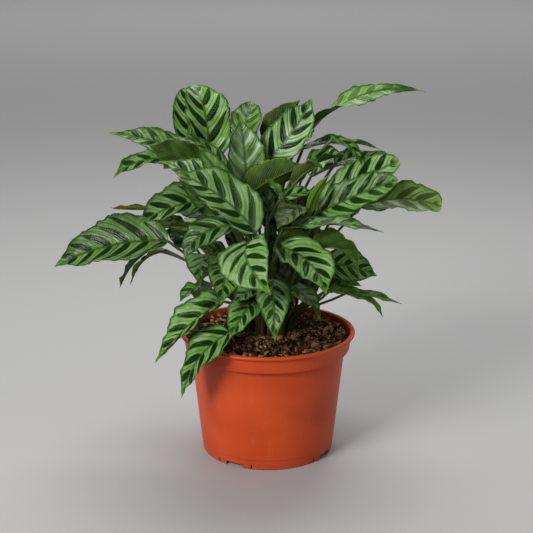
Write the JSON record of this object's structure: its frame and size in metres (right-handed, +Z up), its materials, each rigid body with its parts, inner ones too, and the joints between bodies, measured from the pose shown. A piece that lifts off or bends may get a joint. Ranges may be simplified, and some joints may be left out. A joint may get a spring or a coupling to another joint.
{
  "type": "potted calathea",
  "caption": "Bushy calathea with striped, wavy leaves on thin stems, standing in potting soil in a round tapered plastic grow pot.",
  "frame": {"origin": "centre of the pot's underside, on the surface that the pot stands on", "axes": "+Z up along the pot's axis; -Y towards the plant's best side; +X to its right when seen from that side"},
  "size_m": [0.3435, 0.2858, 0.3331],
  "materials": {
    "pot": "satin",
    "soil": "matte",
    "leaf": "satin"
  },
  "bodies": {
    "root": {"pot": "pot", "soil": "soil", "leaf_01": "leaf", "leaf_02": "leaf", "leaf_03": "leaf", "leaf_04": "leaf", "leaf_05": "leaf", "leaf_06": "leaf", "leaf_07": "leaf", "leaf_08": "leaf", "leaf_09": "leaf", "leaf_10": "leaf", "leaf_11": "leaf", "leaf_12": "leaf", "leaf_13": "leaf", "leaf_14": "leaf", "leaf_15": "leaf", "leaf_16": "leaf", "leaf_17": "leaf", "leaf_18": "leaf", "leaf_19": "leaf", "leaf_20": "leaf", "leaf_21": "leaf", "leaf_22": "leaf", "leaf_23": "leaf", "leaf_24": "leaf", "leaf_25": "leaf", "leaf_26": "leaf", "leaf_27": "leaf", "leaf_28": "leaf", "leaf_29": "leaf", "leaf_30": "leaf", "leaf_31": "leaf", "leaf_32": "leaf", "leaf_33": "leaf", "leaf_34": "leaf", "leaf_35": "leaf", "leaf_36": "leaf", "leaf_37": "leaf", "leaf_38": "leaf", "leaf_39": "leaf", "leaf_40": "leaf", "leaf_41": "leaf", "leaf_42": "leaf", "leaf_43": "leaf", "leaf_44": "leaf", "leaf_45": "leaf", "leaf_46": "leaf", "leaf_47": "leaf", "leaf_48": "leaf", "leaf_49": "leaf", "leaf_50": "leaf", "leaf_51": "leaf", "leaf_52": "leaf", "leaf_53": "leaf", "leaf_54": "leaf", "leaf_55": "leaf", "leaf_56": "leaf", "leaf_57": "leaf", "leaf_58": "leaf"}
  },
  "joints": []
}
